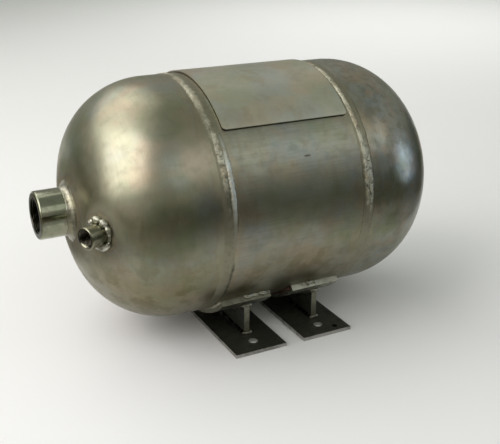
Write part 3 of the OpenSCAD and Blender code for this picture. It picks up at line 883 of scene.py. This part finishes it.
# saddle weld: a fillet along an arc under the shell, from the side of the saddle plate to the shell
def saddleWeld(name, saddleNode, side, node, seed, metal=footMetal):
    low, high = boxOf(saddleNode)
    half = math.radians(saddleBead["halfAngle"])
    down = downward(np.linspace(-half, half, saddleBead["around"]))
    centre = np.array([float(high[0] if side > 0 else low[0]), 0, axisZ])
    way = np.array([side, 0, 0])
    leg = saddleBead["leg"]
    top = centre + (shellR + leg) * down
    toe = centre + shellR * down + leg * way
    root = centre + (shellR - 0.15 * mm) * down - 0.15 * mm * way
    return filletBead(name, top, toe, root, saddleBead, metal, [node], seed, False)


# stitch weld: a short lumpy fillet from a saddle plate's end face to the shell, over a share of its width
def stitchWeld(name, saddleNode, side, first, last, seed):
    low, high = boxOf(saddleNode)
    centre = onAxis(low[0] + (high[0] - low[0]) * np.linspace(first, last, stitchBead["count"]))
    end, leg = math.radians(stitchBead["endAngle"]), stitchBead["leg"]
    atEnd, atToe = downward(side * np.array([end, end + leg / shellR]))
    top = centre + (shellR + leg) * atEnd
    toe = centre + shellR * atToe
    root = centre + (shellR - 0.2 * mm) * atEnd
    return filletBead(name, top, toe, root, stitchBead, footMetal, [], seed, False)


# a loop round a web: along one long side, round the end, back along the other; corners turn a quarter circle
def webLoop(webNode):
    low, high = boxOf(webNode)
    half, reach = float(high[0] - low[0]) / 2, float(high[1] - low[1]) / 2
    midX = float(high[0] + low[0]) / 2
    count, steps = footBead["along"], footBead["bend"]
    bend = np.linspace(0, math.pi / 2, steps)
    corners = [(half, -reach, -math.pi / 2), (half, reach, 0),
               (-half, reach, math.pi / 2), (-half, -reach, math.pi)]
    xs, ys, ways = [], [], []
    for (cx, cy, start), (nx, ny, after) in zip(corners, corners[1:] + corners[:1]):
        xs += [np.full(steps, cx), np.linspace(cx, nx, count)[1:-1]]
        ys += [np.full(steps, cy), np.linspace(cy, ny, count)[1:-1]]
        ways += [start + bend, np.full(count - 2, start + math.pi / 2)]
    ways = np.concatenate(ways)
    return midX + np.concatenate(xs), np.concatenate(ys), np.stack([np.cos(ways), np.sin(ways)], 1)


# a fillet along a corner line round a web: off is the way off the plate, outward the way off the web
def webWeld(name, corner, off, outward, metal, node, seed, pale=None):
    leg = footBead["leg"]
    root = corner - 0.1 * mm * outward - 0.1 * mm * off
    top, toe = corner + leg * off, corner + leg * outward
    return filletBead(name, top, toe, root, footBead, metal, [node], seed, True, pale)


# web top weld: laid under the saddle's curve, from the web out along the saddle plate
def webTopWeld(name, webNode, saddleNode, node, seed):
    saddleR = axisZ - float(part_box(saddleNode)[0][2])
    x, y, out = webLoop(webNode)
    turn = np.arcsin(np.clip(y / saddleR, -1, 1))
    down = downward(turn)
    around = np.stack([0 * turn, np.cos(turn), np.sin(turn)], 1)
    outward = out[:, :1] * np.array([1.0, 0, 0]) + out[:, 1:] * around
    return webWeld(name, onAxis(x) + saddleR * down, down, outward, footMetal, node, seed)


# web foot weld: all round a web's foot, from the web down to the base plate; painted shade except at the ends
def webFootWeld(name, webNode, plateNode, node, seed):
    x, y, out = webLoop(webNode)
    corner = np.stack([x, y, np.full_like(x, float(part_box(plateNode)[1][2]))], 1)
    outward = np.concatenate([out, np.zeros((len(x), 1))], 1)
    # painted shade: dark along the long sides under the vessel and pale at the ends, on a weld metal that is
    # scale-dark in its hollows
    pale = np.clip(0.12 + 1.4 * np.abs(out[:, 1]), 0, 1)
    return webWeld(name, corner, np.array([0, 0, 1.0]), outward, scaleMetal, node, seed, pale)


saddleWeld("frontSaddleEndBead", "front_saddle", -1, "front_saddle_end_weld", 31)
saddleWeld("frontSaddleMidBead", "front_saddle", 1, "front_saddle_mid_weld", 32)
saddleWeld("rearSaddleEndBead", "rear_saddle", 1, "rear_saddle_end_weld", 33)
saddleWeld("rearSaddleMidBead", "rear_saddle", -1, "rear_saddle_mid_weld", 34, rustMetal)
webTopWeld("frontWebTopBead", "front_web", "front_saddle", "front_web_top_weld", 41)
webTopWeld("rearWebTopBead", "rear_web", "rear_saddle", "rear_web_top_weld", 42)
webFootWeld("frontWebFootBead", "front_web", "front_base_plate", "front_web_foot_weld", 43)
webFootWeld("rearWebFootBead", "rear_web", "rear_base_plate", "rear_web_foot_weld", 44)
stitchWeld("frontSaddleStitch", "front_saddle", -1, 0.44, 0.99, 51)
stitchWeld("frontSaddleFarStitch", "front_saddle", 1, 0.44, 0.99, 52)
stitchWeld("rearSaddleStitch", "rear_saddle", -1, 0.30, 0.58, 53)
stitchWeld("rearSaddleFarStitch", "rear_saddle", 1, 0.30, 0.58, 54)
print("saddle and web beads laid")

studio = {"floor": (0.87, 0.87, 0.865), "fleck": 0.985, "drop": 0.0004, "flat": 9.0, "cove": 3.0,
          "horizon": (0.155, 0.15, 0.115), "upper": (0.47, 0.465, 0.43), "zenith": (0.30, 0.335, 0.30),
          "cardGrey": 0.45, "cardNear": 0.46, "cardFar": 0.85, "cardTint": (1.05, 1.0, 0.7),
          "cardLift": 0.004, "washAt": (2.0, 2.2, 2.4), "washSize": 2.0, "washPower": 11.0,
          "washSpread": 90.0}


# matte paint without any gloss
def mattePaint(name, roughness):
    material, shader, spot = newMaterial(name, 0.0)
    shader.inputs["Roughness"].default_value = roughness
    shader.inputs["Specular IOR Level"].default_value = 0.0
    return material, shader, spot


# studio: a round pale floor that turns up in a cove at its rim, soft boxes and a grey room
rise = np.linspace(0, math.pi / 2, 16)
coveOut = np.concatenate([[0.0], studio["flat"] + studio["cove"] * np.sin(rise)])[None, :]
coveUp = np.concatenate([[0.0], studio["cove"] * (1 - np.cos(rise))])[None, :]
turn = np.linspace(0, tau, 97)[:-1, None]
floor = gridPiece("studioFloor", np.stack([coveOut * np.cos(turn), coveOut * np.sin(turn),
                                           coveUp - studio["drop"] + 0 * turn], -1), closeU=True)
floorPaint, shader, spot = mattePaint("studioFloorPaint", 0.9)
feed(shader.inputs["Base Color"], mixColour(
    noise(spot, 3.0, 2), studio["floor"], shade(studio["floor"], studio["fleck"])))
floor.data.materials.append(floorPaint)
floor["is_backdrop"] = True

world = bpy.data.worlds.new("studioRoom")
scene.world = world
world.use_nodes = True
sky = world.node_tree
fade = put(sky, "ShaderNodeValToRGB")
feed(fade.inputs[0], split(put(sky, "ShaderNodeTexCoord").outputs["Generated"])[2])
stops = fade.color_ramp.elements
stops[0].position, stops[0].color = 0.05, (*studio["horizon"], 1)
stops[1].position, stops[1].color = 1.0, (*studio["zenith"], 1)
stops.new(0.5).color = (*studio["upper"], 1)
feed(sky.nodes["Background"].inputs[0], fade.outputs[0])


def addLamp(name, lamp):
    box = bpy.data.objects.new(name, lamp)
    box.visible_camera = False
    scene.collection.objects.link(box)
    return box


# soft box: an area lamp at a bearing and height angle from the vessel, facing it and leaned to its left;
# brightness is its own radiance, straight ahead where a grid narrows its spread
def softBox(name, bearing, rise, distance, wide, tall, lean, brightness, colour, spread=180.0):
    lamp = bpy.data.lights.new(name, "AREA")
    lamp.shape = "RECTANGLE"
    lamp.size, lamp.size_y = wide, tall
    half = math.radians(spread) / 2
    lamp.spread = 2 * half
    lamp.energy = brightness * math.pi * wide * tall * (1 - half / math.tan(half))
    lamp.color = colour
    a, e = math.radians(bearing), math.radians(rise)
    way = np.array([math.sin(a) * math.cos(e), -math.cos(a) * math.cos(e), math.sin(e)])
    right = np.array([math.cos(a), math.sin(a), 0.0])
    upward = np.cross(way, right)
    c, s = math.cos(math.radians(lean)), math.sin(math.radians(lean))
    matrix = np.eye(4)
    matrix[:3, 0], matrix[:3, 1], matrix[:3, 2] = c * right + s * upward, c * upward - s * right, way
    matrix[:3, 3] = np.array([0, 0, axisZ]) + distance * way
    addLamp(name, lamp).matrix_world = Matrix(matrix.tolist())


softBox("keyBox", -84, 35.5, 2.4, 2.1, 1.95, 30, 3.7, (1.0, 0.96, 0.97), 130.0)
softBox("lowBox", -80, 8, 2.4, 1.9, 0.8, 0, 0.5, (1.0, 0.97, 0.94), 110.0)
softBox("topBox", -135, 66, 2.4, 2.4, 1.2, 0, 0.9, (1.0, 0.98, 0.96))
softBox("backBox", -148, 43, 2.6, 2.5, 1.4, 0, 1.5, (1.0, 0.98, 0.96))
softBox("fillBox", 15, 42, 2.6, 3.0, 1.1, 0, 0.6, (0.96, 1.0, 1.0))
softBox("sideBox", 66, 8, 2.2, 0.8, 0.8, 0, 2.1, (0.66, 0.77, 1.0), 90.0)

# floor wash: a gridded lamp straight above the floor behind the vessel, whose cone misses the vessel
washLamp = bpy.data.lights.new("floorWash", "AREA")
washLamp.size = studio["washSize"]
washLamp.energy = studio["washPower"]
washLamp.spread = math.radians(studio["washSpread"])
addLamp("floorWash", washLamp).location = studio["washAt"]

# corners of the reflection flags on the floor, near the vessel and far off
flagNear = {"left": (-0.43, -0.20), "front": (0.10, -0.46), "right": (0.60, 0.07), "back": (-0.28, 0.49)}
flagFar = {"left": (-2.6, -3.2), "front": (1.2, -3.6), "right": (4.6, 2.6), "back": (-2.6, 4.5)}


# reflection flag: a card that only gloss sees, as a card beside a camera, grey near the vessel and dark
# farther off; it lies on the floor between two corners, or stands up far off where it has a height
def flagCard(name, ends, dark, tall=None, hue=studio["cardTint"]):
    if tall:
        sheet = [[(*flagFar[end], up) for end in ends] for up in (0.0, tall)]
    else:
        sheet = [[(*row[end], studio["cardLift"]) for end in ends] for row in (flagNear, flagFar)]
    card = gridPiece(name, np.array(sheet))
    paint, shader, spot = mattePaint(name + "Paint", 1.0)
    far = step(vectorCalc("LENGTH", spot)["Value"], studio["cardNear"], studio["cardFar"])
    feed(shader.inputs["Base Color"], mixColour(far, (studio["cardGrey"],) * 3, shade(hue, dark)))
    card.data.materials.append(paint)
    for ray in ("camera", "diffuse", "shadow", "transmission", "volume_scatter"):
        setattr(card, "visible_" + ray, False)
    card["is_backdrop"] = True


flagCard("frontFlag", ("left", "front"), 0.12)
flagCard("rightFlag", ("front", "right"), 0.12)
flagCard("leftFlag", ("left", "back"), 0.16)
flagCard("farFlag", ("left", "front"), 0.08, 0.8)
flagCard("farRightFlag", ("front", "right"), 0.2, 0.9, (0.8, 1.0, 1.0))
flagCard("farLeftFlag", ("left", "back"), 0.2, 0.3)
print("studio lit")

# camera: place and turn solved from the outline of the vessel in the picture
cameraFit = {"at": (-0.5392927, -1.0257280, 0.5876466), "lens": 61.843,
             "right": (0.8854811, -0.4645822, 0.0093064), "up": (0.1636263, 0.3304873, 0.9295185),
             "back": (-0.4349134, -0.8215483, 0.3686581)}
camera = bpy.data.objects.new("pictureCamera", bpy.data.cameras.new("pictureCamera"))
camera.data.lens = cameraFit["lens"]
camera.data.sensor_width = 36.0
camera.data.sensor_fit = "HORIZONTAL"
pose = np.eye(4)
for column, key in enumerate(("right", "up", "back", "at")):
    pose[:3, column] = cameraFit[key]
camera.matrix_world = Matrix(pose.tolist())
scene.collection.objects.link(camera)
scene.camera = camera
scene.view_settings.view_transform = "Standard"

low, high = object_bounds()
print("visual box", [round((b - a) / mm, 2) for a, b in zip(low, high)])
